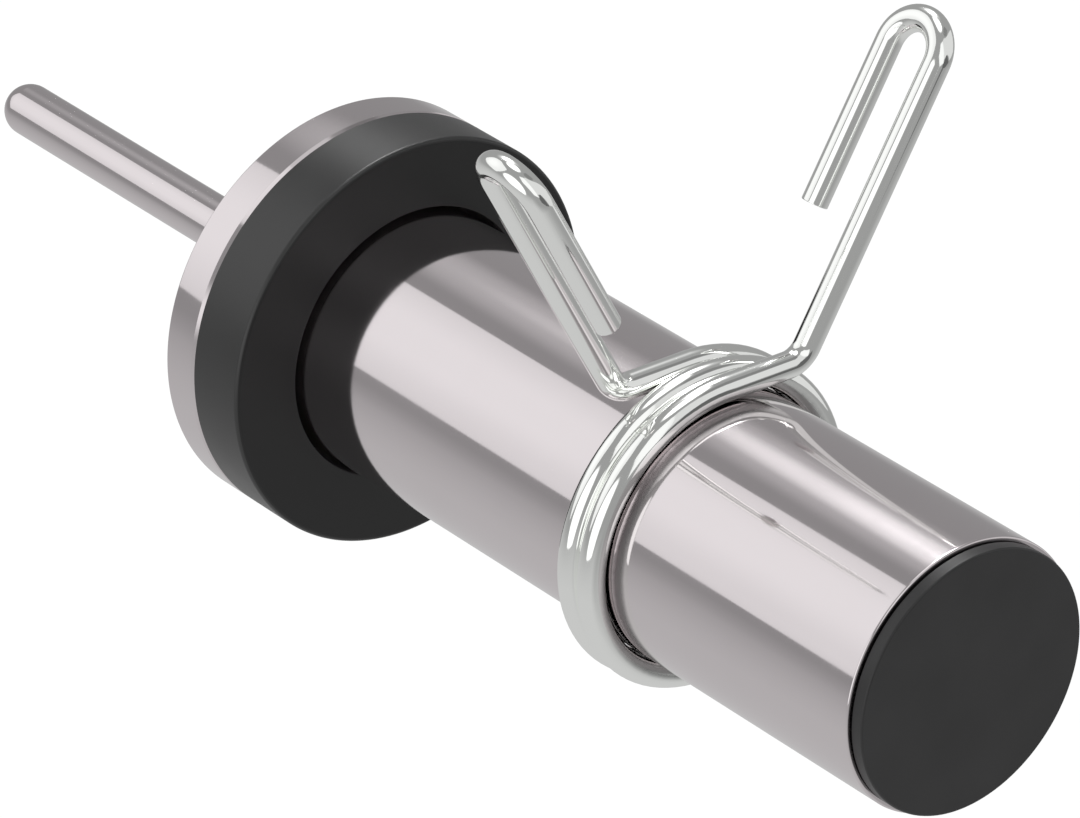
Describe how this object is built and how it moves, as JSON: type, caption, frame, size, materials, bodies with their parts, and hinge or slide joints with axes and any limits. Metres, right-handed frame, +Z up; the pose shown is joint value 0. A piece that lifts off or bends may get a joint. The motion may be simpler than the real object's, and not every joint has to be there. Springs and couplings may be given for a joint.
{
  "type": "magnetic loading pin",
  "caption": "Magnetic loading pin for a weight stack: round selector pin, magnet flange with bumper ring, plate sleeve with end cap, and a spring collar.",
  "frame": {"origin": "centre of the magnet face, where the flange bears on the weight stack's plate", "axes": "+X along the common axis, from the selector pin to the end cap; +Z up, the way the collar's handles point"},
  "size_m": [0.2709, 0.0982, 0.1239],
  "materials": {
    "pin_chrome": "polished chrome plate",
    "flange_chrome": "polished chrome plate, turned disc",
    "magnet_nickel": "nickel plate",
    "bumper_black": "matt black, smooth",
    "sleeve_chrome": "polished chrome plate",
    "plug_steel": "turned steel",
    "washer_zinc": "zinc plate",
    "nut_zinc": "zinc plate",
    "cap_black": "satin black, smooth",
    "spring_chrome": "bright chrome plate on drawn wire"
  },
  "bodies": {
    "loading_pin": {"selector_pin": "pin_chrome", "flange_plate": "flange_chrome", "ring_magnet": "magnet_nickel", "bumper_ring": "bumper_black", "loading_sleeve": "sleeve_chrome", "sleeve_plug": "plug_steel", "clamp_washer": "washer_zinc", "clamp_nut": "nut_zinc", "end_cap": "cap_black"},
    "collar": {"spring_collar": "spring_chrome"}
  },
  "joints": [
    {"name": "collar_slide", "type": "slide", "parent": "loading_pin", "child": "collar", "axis": [1, 0, 0], "range_m": [-0.0724, 0.08]}
  ]
}
